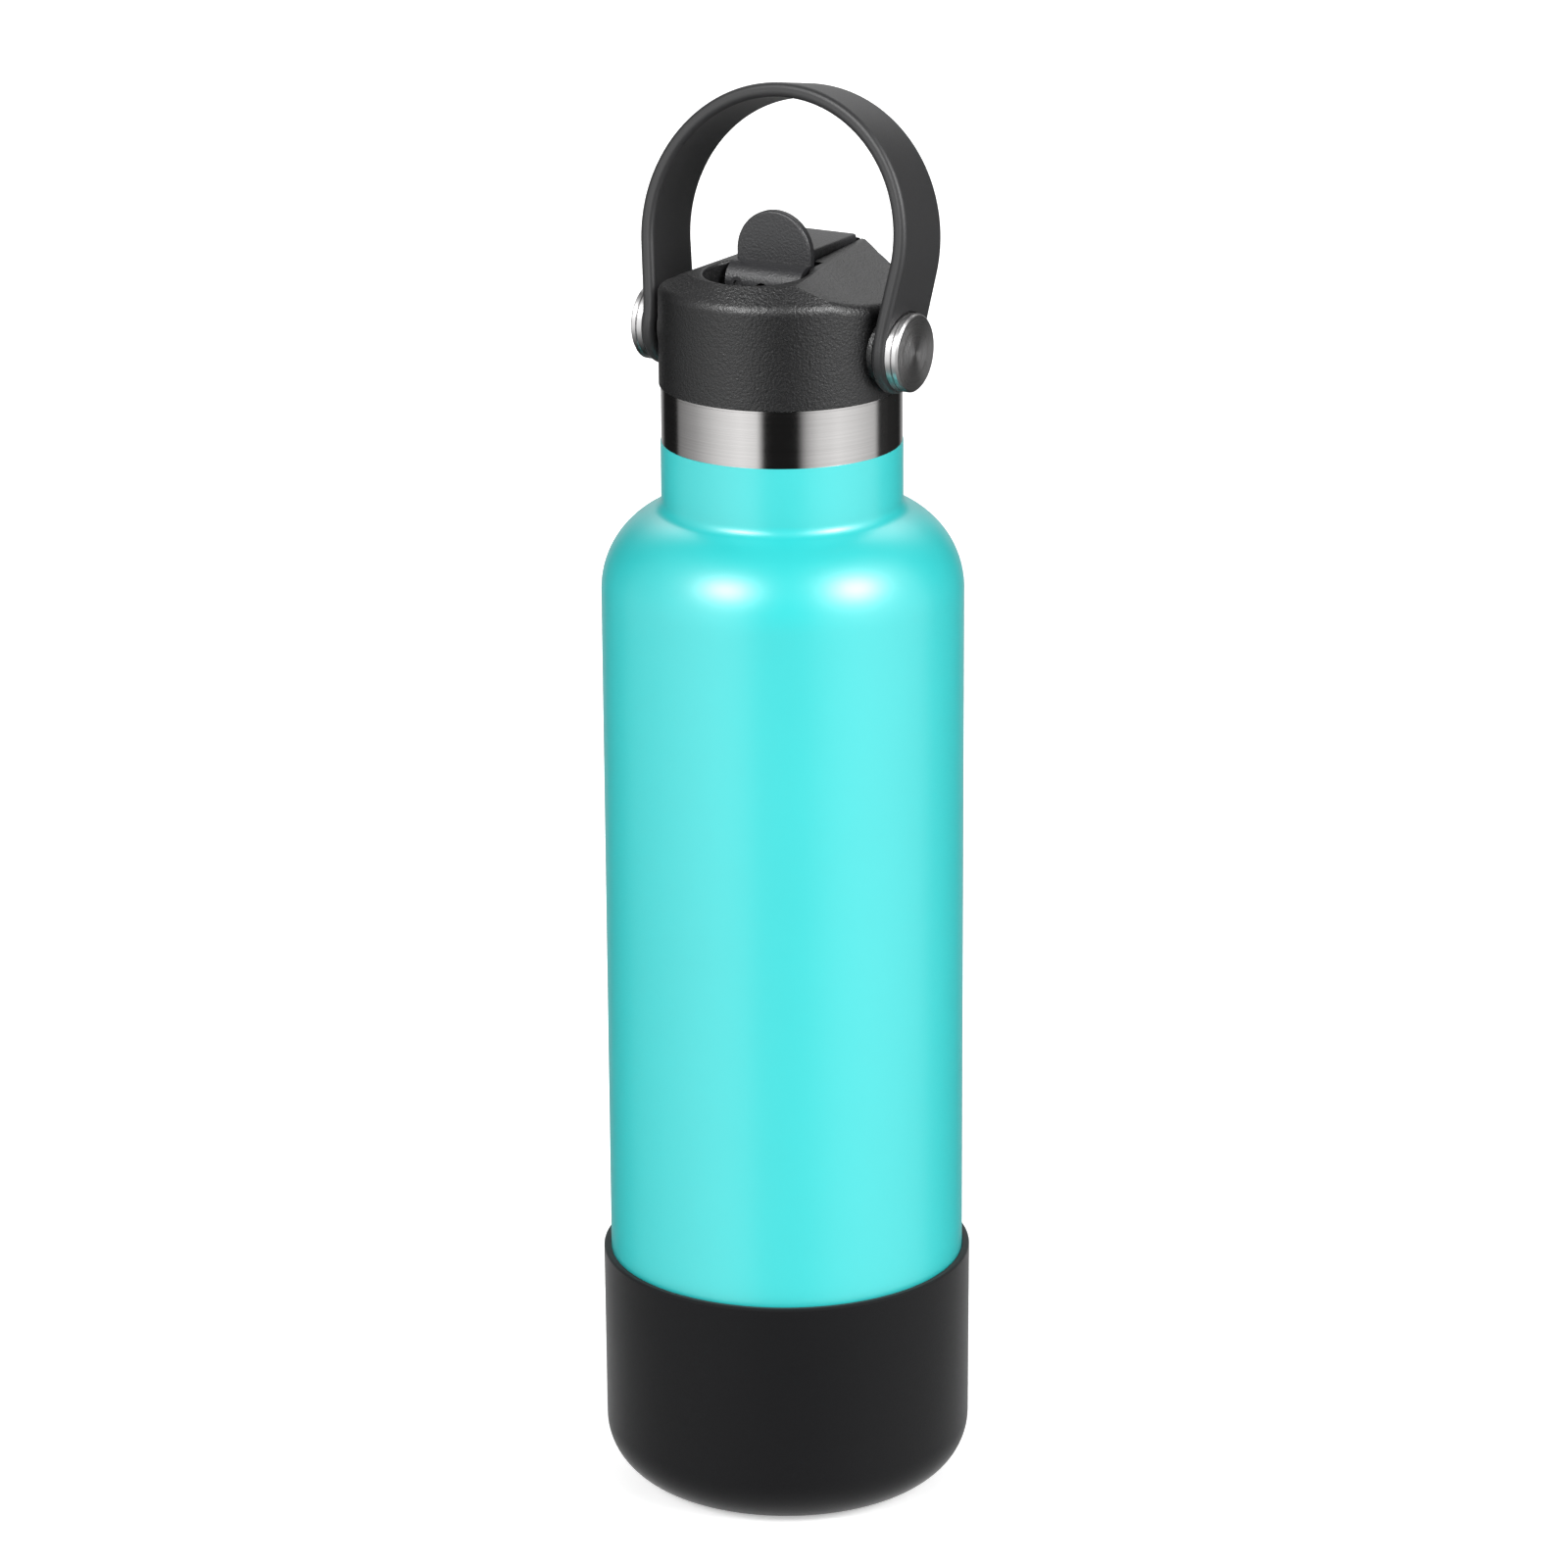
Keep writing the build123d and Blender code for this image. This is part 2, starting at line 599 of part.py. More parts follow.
def strap_front(inset):
    """The strap's outline from the front, moved inward by inset."""
    arch = strap_arch_radius - inset
    foot_x = strap_outer_x - inset
    foot_z = pivot_z - strap_width_end
    centre_z = pivot_z + strap_arch_rise
    drop = strap_arch_rise - strap_bend_rise
    # Each leg stands straight past its pivot, bends and runs on to touch the arch's circle
    angle = acos(arch / hypot(foot_x, drop)) - atan2(drop, foot_x)
    touch = Vector(arch * cos(angle), centre_z + arch * sin(angle))
    Line((-foot_x, foot_z), (foot_x, foot_z))
    for side in (-1, 1):
        FilletPolyline((side * foot_x, foot_z), (side * foot_x, pivot_z + strap_bend_rise),
                       (side * touch.X, touch.Y), radius=strap_bend_radius + inset)
    ThreePointArc((touch.X, touch.Y), (0, centre_z + arch), (-touch.X, touch.Y))


with BuildPart() as strap:
    with BuildSketch(Plane.XZ.offset(-strap_width_end)):
        with BuildLine():
            strap_front(0)
        make_face()
        with BuildLine():
            strap_front(strap_thickness)
        make_face(mode=Mode.SUBTRACT)
    extrude(amount=2 * strap_width_end)
    with BuildSketch(Plane.YZ.offset(-strap_arch_radius)):
        with BuildLine():
            # Straight sides that run down into the round end
            height = strap_arch_rise + strap_arch_radius + 1
            half_end, half_top = strap_width_end / 2, strap_width_top / 2
            swing = asin(half_end / hypot(height, half_top)) - atan2(half_top, height)
            side_y, side_z = half_end * cos(swing), pivot_z + half_end * sin(swing)
            Polyline((side_y, side_z), (half_top, pivot_z + height), (-half_top, pivot_z + height),
                     (-side_y, side_z))
            ThreePointArc((-side_y, side_z), (0, pivot_z - half_end), (side_y, side_z))
        make_face()
    extrude(amount=2 * strap_arch_radius, mode=Mode.INTERSECT)
    crosswise = strap.edges().filter_by(Axis.X) + strap.edges().filter_by(Axis.Y)
    fillet(strap.edges() - crosswise, strap_edge_radius)
    for side in (-1, 1):
        with BuildSketch(Plane.YZ.offset(side * strap_inner_x)):
            with Locations((0, pivot_z)):
                Circle(bush_radius + weld_gap)
        extrude(amount=side * strap_thickness, mode=Mode.SUBTRACT)
        # A flat seat for the button, where the leg already leans outward
        with BuildSketch(Plane.YZ.offset(side * strap_outer_x)):
            with Locations((0, pivot_z)):
                Circle(button_radius + button_seat_gap)
        extrude(amount=side * strap_thickness, mode=Mode.SUBTRACT)
strap.part = leaned(strap.part)
keep("strap", strap)

with BuildPart() as strap_bushes:
    for side in (-1, 1):
        with BuildSketch(Plane.YZ.offset(side * strap_inner_x)):
            with Locations((0, pivot_z)):
                Circle(bush_radius)
                Circle(shoulder_bolt_radius + running_fit, mode=Mode.SUBTRACT)
        extrude(amount=side * strap_thickness)
keep("strap_bushes", strap_bushes)

with BuildPart() as strap_washers:
    for side in (-1, 1):
        with BuildSketch(Plane.YZ.offset(side * boss_face)):
            with Locations((0, pivot_z)):
                Circle(washer_radius)
                Circle(shoulder_bolt_radius + running_fit, mode=Mode.SUBTRACT)
        extrude(amount=side * washer_thickness)
keep("strap_washers", strap_washers)

with BuildPart() as pivot_bolts:
    for side in (-1, 1):
        for start, length, radius in ((boss_face - stud_length, stud_length, stud_radius),
                                      (boss_face, button_start - boss_face, shoulder_bolt_radius),
                                      (button_start, button_base, button_radius),
                                      (button_start + button_base, button_groove,
                                       button_radius - button_groove_depth)):
            with BuildSketch(Plane.YZ.offset(side * start)):
                with Locations((0, pivot_z)):
                    Circle(radius)
            extrude(amount=side * length)
keep("pivot_bolts", pivot_bolts)

with BuildPart() as pivot_caps:
    cap_start = button_start + button_base + button_groove
    for side in (-1, 1):
        with BuildSketch(Plane.YZ.offset(side * cap_start)):
            with Locations((0, pivot_z)):
                Circle(button_radius)
        extrude(amount=side * button_cap)
    faces = pivot_caps.edges().group_by(Axis.X)
    chamfer(faces[0] + faces[-1], button_bevel)
keep("pivot_caps", pivot_caps)

with BuildPart() as pivot_inserts:
    for side in (-1, 1):
        with BuildSketch(Plane.YZ.offset(side * (boss_face - insert_length))):
            with Locations((0, pivot_z)):
                Circle(insert_radius)
                Circle(stud_radius + weld_gap, mode=Mode.SUBTRACT)
        extrude(amount=side * (insert_length - weld_gap))
keep("pivot_inserts", pivot_inserts)

for name, piece in pieces:
    export_step(piece, f"parts/{name}.step")
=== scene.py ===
import bpy
import bmesh
import json
import math
from mathutils import Matrix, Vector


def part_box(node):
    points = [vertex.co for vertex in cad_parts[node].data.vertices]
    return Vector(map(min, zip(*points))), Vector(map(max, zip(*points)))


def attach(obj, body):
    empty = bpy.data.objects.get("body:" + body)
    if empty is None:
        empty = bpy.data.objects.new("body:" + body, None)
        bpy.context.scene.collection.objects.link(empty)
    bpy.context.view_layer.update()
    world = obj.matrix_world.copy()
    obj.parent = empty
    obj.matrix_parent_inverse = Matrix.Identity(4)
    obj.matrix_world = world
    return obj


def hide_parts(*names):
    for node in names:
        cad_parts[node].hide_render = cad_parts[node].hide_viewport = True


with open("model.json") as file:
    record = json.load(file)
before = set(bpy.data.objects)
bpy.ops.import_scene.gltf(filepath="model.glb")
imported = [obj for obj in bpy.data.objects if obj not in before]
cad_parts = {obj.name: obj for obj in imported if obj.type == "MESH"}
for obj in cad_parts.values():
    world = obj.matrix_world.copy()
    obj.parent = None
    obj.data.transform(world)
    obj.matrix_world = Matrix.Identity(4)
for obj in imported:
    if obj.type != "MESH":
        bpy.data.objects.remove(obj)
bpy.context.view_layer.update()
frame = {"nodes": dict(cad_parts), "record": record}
print("frame loaded:", len(frame["nodes"]), "parts")

mm = 0.001
halfTurn = 180


# node helpers
class Wire:
    # a node socket that can be used in sums
    def __init__(self, tree, socket):
        self.tree = tree
        self.socket = socket

    def maths(self, operation, *values):
        return addNode(self.tree, "ShaderNodeMath", {"operation": operation}, values)

    def __add__(self, other):
        return self.maths("ADD", self, other)

    def __sub__(self, other):
        return self.maths("SUBTRACT", self, other)

    def __mul__(self, other):
        return self.maths("MULTIPLY", self, other)

    def __truediv__(self, other):
        return self.maths("DIVIDE", self, other)


def addNode(tree, kind, settings=None, values=None, out=0):
    # makes one node: its settings first, then its sockets' values or links; out picks one of its enabled outputs
    node = tree.nodes.new(kind)
    for key, value in (settings or {}).items():
        if key == "stops":
            ramp = node.color_ramp
            while len(ramp.elements) < len(value):
                ramp.elements.new(0.5)
            for element, (place, colour) in zip(ramp.elements, value):
                element.position = place
                element.color = colour
        else:
            setattr(node, key, value)
    pairs = values.items() if isinstance(values, dict) else enumerate(values or [])
    for slot, value in pairs:
        socket = node.inputs[slot]
        if isinstance(value, Wire):
            tree.links.new(value.socket, socket)
        else:
            socket.default_value = value
    outputs = [socket for socket in node.outputs if socket.enabled]
    return Wire(tree, outputs[out])


def splitVector(tree, vector):
    # the x, y and z of a vector, as three wires
    node = addNode(tree, "ShaderNodeSeparateXYZ", None, [vector]).socket.node
    return [Wire(tree, socket) for socket in node.outputs]


def srgb(text):
    # a colour as seen on a screen, such as "5debeb", turned into the linear values that shaders use
    parts = [int(text[i:i + 2], 16) / 255 for i in (0, 2, 4)]
    linear = [part / 12.92 if part <= 0.04045 else ((part + 0.055) / 1.055) ** 2.4 for part in parts]
    return (*linear, 1.0)


class Finish:
    # one material in the making, with a Principled shader at its end
    def __init__(self, name, **fixed):
        self.material = bpy.data.materials.new(name)
        self.material.use_nodes = True
        self.tree = self.material.node_tree
        self.tree.nodes.clear()
        self.shader = self.tree.nodes.new("ShaderNodeBsdfPrincipled")
        output = self.tree.nodes.new("ShaderNodeOutputMaterial")
        self.tree.links.new(self.shader.outputs[0], output.inputs[0])
        for socket, value in fixed.items():
            self.shader.inputs[socket.replace("_", " ")].default_value = value
        self.place = self.node("ShaderNodeTexCoord", out=3)   # Object coordinates, in metres

    def node(self, kind, settings=None, values=None, out=0):
        return addNode(self.tree, kind, settings, values, out)

    def noise(self, scale, detail=2.0, roughness=0.5, place=None):
        return self.node("ShaderNodeTexNoise", None,
                         {"Vector": place or self.place, "Scale": scale, "Detail": detail,
                          "Roughness": roughness})

    def stretched(self, x, y, z):
        return self.node("ShaderNodeMapping", None, {"Vector": self.place, "Scale": (x, y, z)})

    def between(self, amount, low, high):
        # a number that runs from low to high as amount runs from 0 to 1
        return amount * (high - low) + low

    def mixed(self, amount, first, second):
        return self.node("ShaderNodeMix", {"data_type": "RGBA"},
                         {"Factor": amount, 6: first, 7: second})

    def bump(self, height, strength, depth):
        return self.node("ShaderNodeBump", None, {"Height": height, "Strength": strength, "Distance": depth})

    def feed(self, **links):
        for socket, wire in links.items():
            self.tree.links.new(wire.socket, self.shader.inputs[socket.replace("_", " ")])
        return self.material


# finishes: scales count features per metre, depths are in metres
paint = {"light": "24bbbb", "shade": "22b5b5", "clouds": 22, "specks": 2600, "roughness": (0.31, 0.42),
         "peel": 420, "grain": 1500, "grainShare": 0.35, "strength": 0.10, "depth": 0.00012,
         "fixed": {"Specular_IOR_Level": 0.8, "Coat_Weight": 1.0, "Coat_Roughness": 0.27, "Sheen_Weight": 0.12,
                   "Sheen_Roughness": 0.4, "Sheen_Tint": (0.2, 1.0, 1.0, 1.0)}}


def makePaint():
    made = Finish("aquaPowderCoat", **paint["fixed"])
    colour = made.mixed(made.noise(paint["clouds"], 3), srgb(paint["shade"]), srgb(paint["light"]))
    roughness = made.between(made.noise(paint["specks"], 1), *paint["roughness"])
    peel = made.noise(paint["peel"], 2) + made.noise(paint["grain"], 1) * paint["grainShare"]
    return made.feed(Base_Color=colour, Roughness=roughness,
                     Normal=made.bump(peel, paint["strength"], paint["depth"]))


steel = {"light": "eceae9", "shade": "cbc9c8", "lines": (30, 30, 6500), "clouds": 60, "cloudShare": 0.03,
         "roughness": (0.05, 0.15), "strength": 0.10, "depth": 0.00005,
         "fixed": {"Metallic": 1.0, "Anisotropic": 0.3}}


def makeSteel():
    # brushed round the neck: noise drawn out sideways into fine level lines
    made = Finish("brushedSteel", **steel["fixed"])
    brushed = made.noise(1, 3, 0.6, made.stretched(*steel["lines"]))
    colour = made.mixed(brushed, srgb(steel["shade"]), srgb(steel["light"]))
    roughness = made.between(brushed, *steel["roughness"]) + made.noise(steel["clouds"], 2) * steel["cloudShare"]
    return made.feed(Base_Color=colour, Roughness=roughness,
                     Normal=made.bump(brushed, steel["strength"], steel["depth"]))


spun = {"light": "efeeee", "shade": "cfcece", "grooves": 22000, "lean": 1.9, "roughness": (0.21, 0.34),
        "centre": 0.00001, "fixed": {"Metallic": 1.0}}


def makeSpunSteel():
    # turned in a lathe about X: each fine groove leans the surface in or out from the pivot's line
    made = Finish("spunSteel", **spun["fixed"])
    y, level = splitVector(made.tree, made.place)[1:]
    z = level - pivotHeight
    radius = (y * y + z * z).maths("SQRT", y * y + z * z)
    away = radius + spun["centre"]   # never nought, so that the middle can be divided by it
    outward = made.node("ShaderNodeCombineXYZ", None, [0.0, y / away, z / away])
    rings = made.node("ShaderNodeTexNoise", {"noise_dimensions": "1D"},
                      {"W": radius, "Scale": spun["grooves"], "Detail": 2.0})
    push = made.node("ShaderNodeVectorMath", {"operation": "SCALE"},
                     {0: outward, "Scale": (rings - 0.5) * spun["lean"]})
    normal = Wire(made.tree, made.tree.nodes.new("ShaderNodeNewGeometry").outputs["Normal"])
    leaned = made.node("ShaderNodeVectorMath", {"operation": "ADD"}, [normal, push])
    straight = made.node("ShaderNodeVectorMath", {"operation": "NORMALIZE"}, [leaned])
    return made.feed(Base_Color=made.mixed(rings, srgb(spun["shade"]), srgb(spun["light"])),
                     Roughness=made.between(rings, *spun["roughness"]), Normal=straight)


moulded = {"clouds": 45, "cloudShare": 0.05, "fineness": 2.7, "fineShare": 0.25, "pitRough": 0.08, "landSmooth": 0.05}


def makeMoulded(name, shade, light, grain, depth, roughness, strength, **fixed):
    # moulded plastic or rubber with the fine even grain of a spark-eroded tool
    made = Finish(name, **fixed)
    pits = made.noise(grain, 2, 0.55)
    fine = made.noise(grain * moulded["fineness"], 1)
    broad = made.noise(moulded["clouds"], 2)
    height = pits * (1 - moulded["fineShare"]) + fine * moulded["fineShare"]
    tone = made.mixed(broad * 0.5 + pits * 0.5, srgb(shade), srgb(light))
    finish = (made.between(pits, roughness + moulded["pitRough"], roughness - moulded["landSmooth"])
              + broad * moulded["cloudShare"])
    return made.feed(Base_Color=tone, Roughness=finish, Normal=made.bump(height, strength, depth))


smooth = {"clouds": 90, "fine": 1620, "spread": 0.05, "strength": 0.08, "depth": 0.00004}


def makeSmooth(name, shade, light, roughness, metallic=0.0, **fixed):
    made = Finish(name, Metallic=metallic, **fixed)
    fine = made.noise(smooth["fine"], 2)
    return made.feed(Base_Color=made.mixed(made.noise(smooth["clouds"], 3), srgb(shade), srgb(light)),
                     Roughness=made.between(fine, roughness - smooth["spread"], roughness + smooth["spread"]),
                     Normal=made.bump(fine, smooth["strength"], smooth["depth"]))


foam = {"light": "efece3", "shade": "cfcbc0", "cells": 900, "strength": 0.5, "depth": 0.0003}


def makeFoam():
    made = Finish("foam", Roughness=0.9)
    cells = made.node("ShaderNodeTexVoronoi", None, {"Vector": made.place, "Scale": foam["cells"]})
    return made.feed(Base_Color=made.mixed(cells, srgb(foam["shade"]), srgb(foam["light"])),
                     Normal=made.bump(cells, foam["strength"], foam["depth"]))


pivotHeight = sum(corner[2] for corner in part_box("pivot_caps")) / 2   # half way up the two caps
finishes = {
    "paint": makePaint(),
    "bare_steel": makeSteel(),
    "button_steel": makeSpunSteel(),
    "lid_plastic": makeMoulded("grainedLid", "0e0e0f", "171718", 1900, 0.00022, 0.33, 0.8,
                                Specular_IOR_Level=0.85),
    "spout_plastic": makeMoulded("grainedSpout", "232325", "2e2e30", 2000, 0.00018, 0.38, 0.8,
                                  Specular_IOR_Level=0.85),
    "strap_rubber": makeMoulded("silkyStrap", "222223", "29292a", 3600, 0.00004, 0.42, 0.35,
                                Specular_IOR_Level=0.6, Sheen_Weight=0.05, Sheen_Roughness=0.4),
    "boot_rubber": makeMoulded("mattBoot", "08080a", "0d0d0f", 2600, 0.00005, 0.62, 0.4,
                               Specular_IOR_Level=0.16, Sheen_Weight=0.28, Sheen_Roughness=0.39),
    "plug_plastic": makeSmooth("plugPlastic", "1a1a1b", "232324", 0.3),
    "seal_silicone": makeSmooth("clearSilicone", "c9cccc", "dfe2e2", 0.35, Transmission_Weight=0.3),
    "gasket_silicone": makeSmooth("greySilicone", "8f9294", "a5a8aa", 0.5),
    "straw_plastic": makeSmooth("milkyStraw", "d9dedf", "eceff0", 0.3, Transmission_Weight=0.25),
    "foam": makeFoam(),
    "washer_nylon": makeSmooth("blackNylon", "151515", "1e1e1e", 0.4),
    "bush_acetal": makeSmooth("blackAcetal", "121212", "1b1b1b", 0.3),
    "brass": makeSmooth("brass", "b8923f", "d6b562", 0.28, 1.0),
    "bead_glass": makeSmooth("sealingGlass", "8fa08c", "a9b8a6", 0.12),
    "getter_alloy": makeSmooth("getterAlloy", "4a4846", "5f5d5a", 0.7, 0.6),
}
for row in frame["record"]["subparts"]:
    node = frame["nodes"][row["node"]]
    node.data.materials.clear()
    node.data.materials.append(finishes[row["material_slot"]])
print("finishes made:", len(finishes))


# turned parts: an outline swept round the bottle's own line
def growTurning():
    # the outline comes in as a chain of points; every column of a grid takes a copy of it, turned a little further
    tree = bpy.data.node_groups.new("turnedPart", "GeometryNodeTree")
    face = tree.interface
    face.new_socket("Outline", in_out="INPUT", socket_type="NodeSocketGeometry")
    for name, kind in (("Points", "NodeSocketInt"), ("Segments", "NodeSocketInt"), ("Weld", "NodeSocketFloat"),
                       ("Finish", "NodeSocketMaterial")):
        face.new_socket(name, in_out="INPUT", socket_type=kind)
    face.new_socket("Geometry", in_out="OUTPUT", socket_type="NodeSocketGeometry")
    given = tree.nodes.new("NodeGroupInput")
    outline, points, segments, weld, finish = (Wire(tree, given.outputs[i]) for i in range(5))
    grid = addNode(tree, "GeometryNodeMeshGrid", None, {"Vertices X": segments + 1, "Vertices Y": points})
    index = addNode(tree, "GeometryNodeInputIndex")
    row = index.maths("FLOORED_MODULO", index, points)
    column = (index / points).maths("FLOOR", (index + 0.5) / points)
    place = addNode(tree, "GeometryNodeInputPosition")
    sample = addNode(tree, "GeometryNodeSampleIndex", {"data_type": "FLOAT_VECTOR"},
                     {"Geometry": outline, "Value": place, "Index": row})
    radius, height = splitVector(tree, sample)[::2]
    angle = column / segments * (2 * math.pi)
    swept = addNode(tree, "ShaderNodeCombineXYZ", None,
                    [radius * angle.maths("COSINE", angle), radius * angle.maths("SINE", angle), height])
    moved = addNode(tree, "GeometryNodeSetPosition", None, {"Geometry": grid, "Position": swept})
    merged = addNode(tree, "GeometryNodeMergeByDistance", None, {"Geometry": moved, "Distance": weld})
    real = addNode(tree, "GeometryNodeRealizeInstances", None, [merged])
    done = addNode(tree, "GeometryNodeSetMaterial", None, {"Geometry": real, "Material": finish})
    result = tree.nodes.new("NodeGroupOutput")
    tree.links.new(done.socket, result.inputs[0])
    return tree


turning = growTurning()
turned = {"segments": 180, "weld": 1e-6, "creaseAngle": 28}


def turnPart(name, outline, finish):
    # outline: (radius, height) pairs in millimetres, closed by the tree's weld
    chain = bpy.data.meshes.new(name + ".outline")
    spots = [(r * mm, 0, z * mm) for r, z in outline + outline[:1]]
    chain.from_pydata(spots, [(i, i + 1) for i in range(len(spots) - 1)], [])
    rough = bpy.data.objects.new(name + ".rough", chain)
    bpy.context.collection.objects.link(rough)
    modifier = rough.modifiers.new("turnedPart", "NODES")
    modifier.node_group = turning
    values = {"Points": len(spots), "Segments": turned["segments"], "Weld": turned["weld"], "Finish": finish}
    for item in turning.interface.items_tree:
        if item.name in values:
            modifier[item.identifier] = values[item.name]
    graph = bpy.context.evaluated_depsgraph_get()
    mesh = bpy.data.meshes.new_from_object(rough.evaluated_get(graph))
    bpy.data.objects.remove(rough)
    shape = bmesh.new()
    shape.from_mesh(mesh)
    bmesh.ops.recalc_face_normals(shape, faces=shape.faces)
    for side in shape.faces:
        side.smooth = True
    crease = math.radians(turned["creaseAngle"])
    for edge in shape.edges:
        edge.smooth = not (edge.is_manifold and edge.calc_face_angle(0) > crease)
    shape.to_mesh(mesh)
    shape.free()
    piece = bpy.data.objects.new(name, mesh)
    bpy.context.collection.objects.link(piece)
    return piece


def arc(centre, radius, start, end, steps=14):
    # points on a circle, from one angle in degrees to another
    turns = [math.radians(start + (end - start) * i / steps) for i in range(steps + 1)]
    return [(centre[0] + radius * math.cos(t), centre[1] + radius * math.sin(t)) for t in turns]


coat = {"radius": 36.5, "skin": 0.15, "corner": 8.65, "wallPoints": (60, 100, 150), "shoulderStart": 191.2,
        "shoulder": 18.05, "neckRoot": 2.75, "neck": 24.25, "top": 221.8, "foot": 2.43, "plate": 26.0, "edge": 0.06}


def coatOutline(inset):
    # from the base plate's edge round the corner, up the wall, over the shoulder and up the neck
    wall, neck = coat["radius"] - inset, coat["neck"] - inset
    corner, shoulder, root = coat["corner"] - inset, coat["shoulder"] - inset, coat["neckRoot"] + inset
    run = neck + root - (wall - shoulder)
    rise = math.sqrt((shoulder + root) ** 2 - run ** 2)
    lean = math.degrees(math.atan2(rise, run))
    foot = coat["foot"] + inset
    start = coat["shoulderStart"]
    return ([(coat["plate"], foot)] + arc((wall - corner, foot + corner), corner, -90, 0)
            + [(wall, height) for height in coat["wallPoints"]]
            + arc((wall - shoulder, start), shoulder, 0, lean, 26)
            + arc((neck + root, start + rise), root, 180 + lean, 180, 12)[1:])


edge = coat["edge"]
paintOutline = (coatOutline(0) + [(coat["neck"], coat["top"] - edge), (coat["neck"] - edge, coat["top"]),
                (coat["neck"] - coat["skin"], coat["top"])] + coatOutline(coat["skin"])[::-1])
paintSkin = turnPart("paintSkin", paintOutline, finishes["paint"])
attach(paintSkin, "flask")
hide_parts("powder_coat")

boot = {"height": 50.0, "floor": 2.43, "radius": 37.88, "flare": 0.15, "waist": 30, "corner": 12.0, "lip": 0.5,
        "lipInside": 0.2, "inside": 36.58, "insideCorner": 8.73, "recess": 22.0, "recessDepth": 0.8, "recessEdge": 0.3}


def bootOutline():
    # from the middle of the underside, out and up the outside, over the lip and down the inside
    out, lip, top = boot["radius"], boot["lip"], boot["height"]
    mouth = out + boot["flare"]
    recess, deep, soft = boot["recess"], boot["recessDepth"], boot["recessEdge"]
    inner, innerLip, innerCorner = boot["inside"], boot["lipInside"], boot["insideCorner"]
    return ([(0, deep), (recess - soft, deep), (recess, deep - soft), (recess, soft), (recess + soft, 0)]
            + arc((out - boot["corner"], boot["corner"]), boot["corner"], -90, 0, 20)
            + [(out + boot["flare"] * 0.4, boot["waist"])] + arc((mouth - lip, top - lip), lip, 0, 90, 8)
            + [(inner + innerLip, top), (inner, top - innerLip)]
            + arc((inner - innerCorner, boot["floor"] + innerCorner), innerCorner, 0, -90, 12)
            + [(0, boot["floor"])])


bootCup = turnPart("bootCup", bootOutline(), finishes["boot_rubber"])
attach(bootCup, "boot_cup")
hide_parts("boot")
print("turned parts made")


# stage, light and camera
stage = {"size": 60, "finish": {"Roughness": 0.9, "Specular_IOR_Level": 0.1, "Base_Color": (0.9, 0.9, 0.9, 1.0),
                                "Emission_Color": (1.0, 1.0, 1.0, 1.0), "Emission_Strength": 0.42}}


def makeStage():
    bpy.ops.mesh.primitive_plane_add(size=stage["size"])
    floor = bpy.context.object
    floor.name = "floor"
    floor.data.materials.append(Finish("paleFloor", **stage["finish"]).material)
    floor.visible_glossy = False


camera = {"azimuth": 30.2, "distance": 1.124, "height": 0.5091, "pitch": 17.74, "roll": 0.34, "lens": 133.33,
          "sensor": 36, "near": 0.01}


def makeCamera():
    data = bpy.data.cameras.new("camera")
    data.lens = camera["lens"]
    data.sensor_width = camera["sensor"]
    data.clip_start = camera["near"]
    eye = bpy.data.objects.new("camera", data)
    bpy.context.collection.objects.link(eye)
    turn = math.radians(camera["azimuth"])
    eye.location = (camera["distance"] * math.sin(turn), -camera["distance"] * math.cos(turn), camera["height"])
    aim = Matrix.Rotation(turn, 4, "Z") @ Matrix.Rotation(math.radians(90 - camera["pitch"]), 4, "X")
    roll = Matrix.Rotation(math.radians(-camera["roll"]), 4, "Z")
    eye.rotation_euler = (aim @ roll).to_euler()
    bpy.context.scene.camera = eye


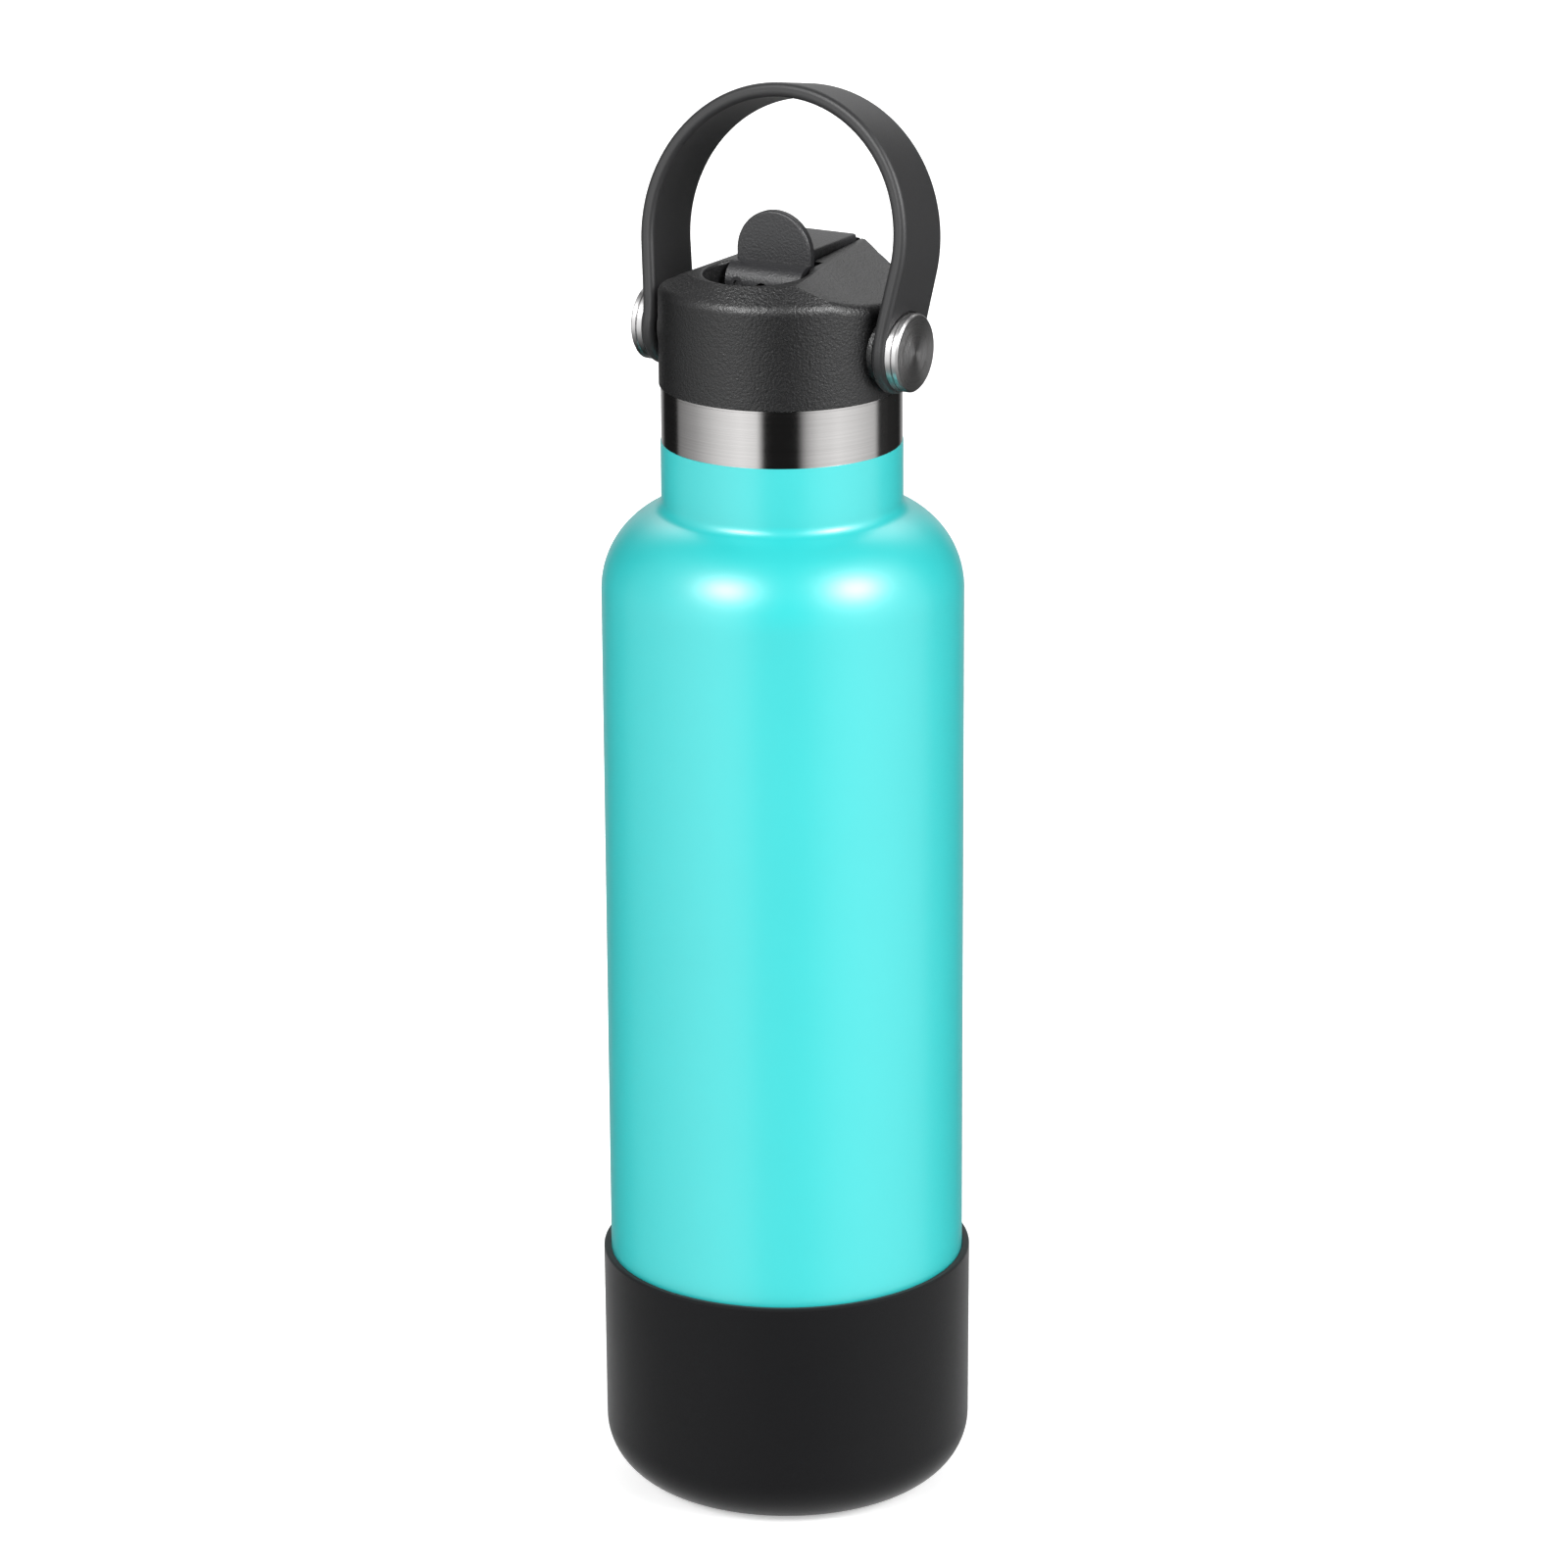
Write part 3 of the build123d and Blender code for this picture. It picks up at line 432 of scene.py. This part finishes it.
# round: brightness by degrees round the bottle, from the camera's side towards its right
# upward: what that is multiplied by, by degrees above the horizon
# hot: the soft boxes' bright middles
studio = {
    "round": [(-166, 0.5), (-150, 0.005), (-119, 0.005), (-116, 0.25), (-90, 0.5), (-60, 1.05), (-40, 1.3),
              (-24, 1.15), (-17, 0.005), (15, 0.005), (24, 0.62), (35, 0.98), (55, 1.2), (75, 1.0), (100, 0.7),
              (106, 0.03), (150, 0.01), (166, 0.5)],
    "upward": [(-60, 0.05), (-30, 0.4), (-15, 1.0), (5, 1.2), (25, 1.25), (50, 1.0), (64, 0.3), (80, 0.08)],
    "hot": [{"side": -42, "height": 37, "wide": 14, "tall": 10, "strength": 24},
            {"side": 54, "height": 34, "wide": 14, "tall": 12, "strength": 24},
            {"side": 152, "height": 42, "wide": 18, "tall": 14, "strength": 2.6},
            {"side": -160, "height": 40, "wide": 18, "tall": 14, "strength": 2.8}],
    "fill": 0.01,
}


def makeWorld():
    world = bpy.data.worlds.new("studio")
    bpy.context.scene.world = world
    world.use_nodes = True
    tree = world.node_tree
    tree.nodes.clear()
    look = addNode(tree, "ShaderNodeTexCoord")   # its first output is the direction looked in
    x, y, z = splitVector(tree, look)
    turn = math.radians(camera["azimuth"])
    ahead = x * math.sin(turn) - y * math.cos(turn)
    aside = x * math.cos(turn) + y * math.sin(turn)
    azimuth = aside.maths("ARCTAN2", aside, ahead) * math.degrees(1)
    height = z.maths("ARCSINE", z) * math.degrees(1)

    def along(value, low, high, stops):
        # reads a brightness off a list of (degrees, brightness)
        most = max(level for place, level in stops)   # a ramp's colours stop at 1
        ramp = [((place - low) / (high - low), (level / most,) * 3 + (1,)) for place, level in stops]
        share = (value - low) / (high - low)
        return addNode(tree, "ShaderNodeValToRGB", {"stops": ramp}, [share]) * most

    light = along(azimuth, -halfTurn, halfTurn, studio["round"]) * along(height, -90, 90, studio["upward"])
    for spot in studio["hot"]:
        across = azimuth.maths("WRAP", azimuth - spot["side"], halfTurn, -halfTurn) / spot["wide"]
        up = (height - spot["height"]) / spot["tall"]
        far = across * across + up * up
        light = light + far.maths("EXPONENT", far * -1) * spot["strength"]
    background = tree.nodes.new("ShaderNodeBackground")
    tree.links.new((light + studio["fill"]).socket, background.inputs["Strength"])
    output = tree.nodes.new("ShaderNodeOutputWorld")
    tree.links.new(background.outputs[0], output.inputs[0])


makeStage()
makeCamera()
makeWorld()
bpy.context.scene.view_settings.view_transform = "Standard"
print("stage set")
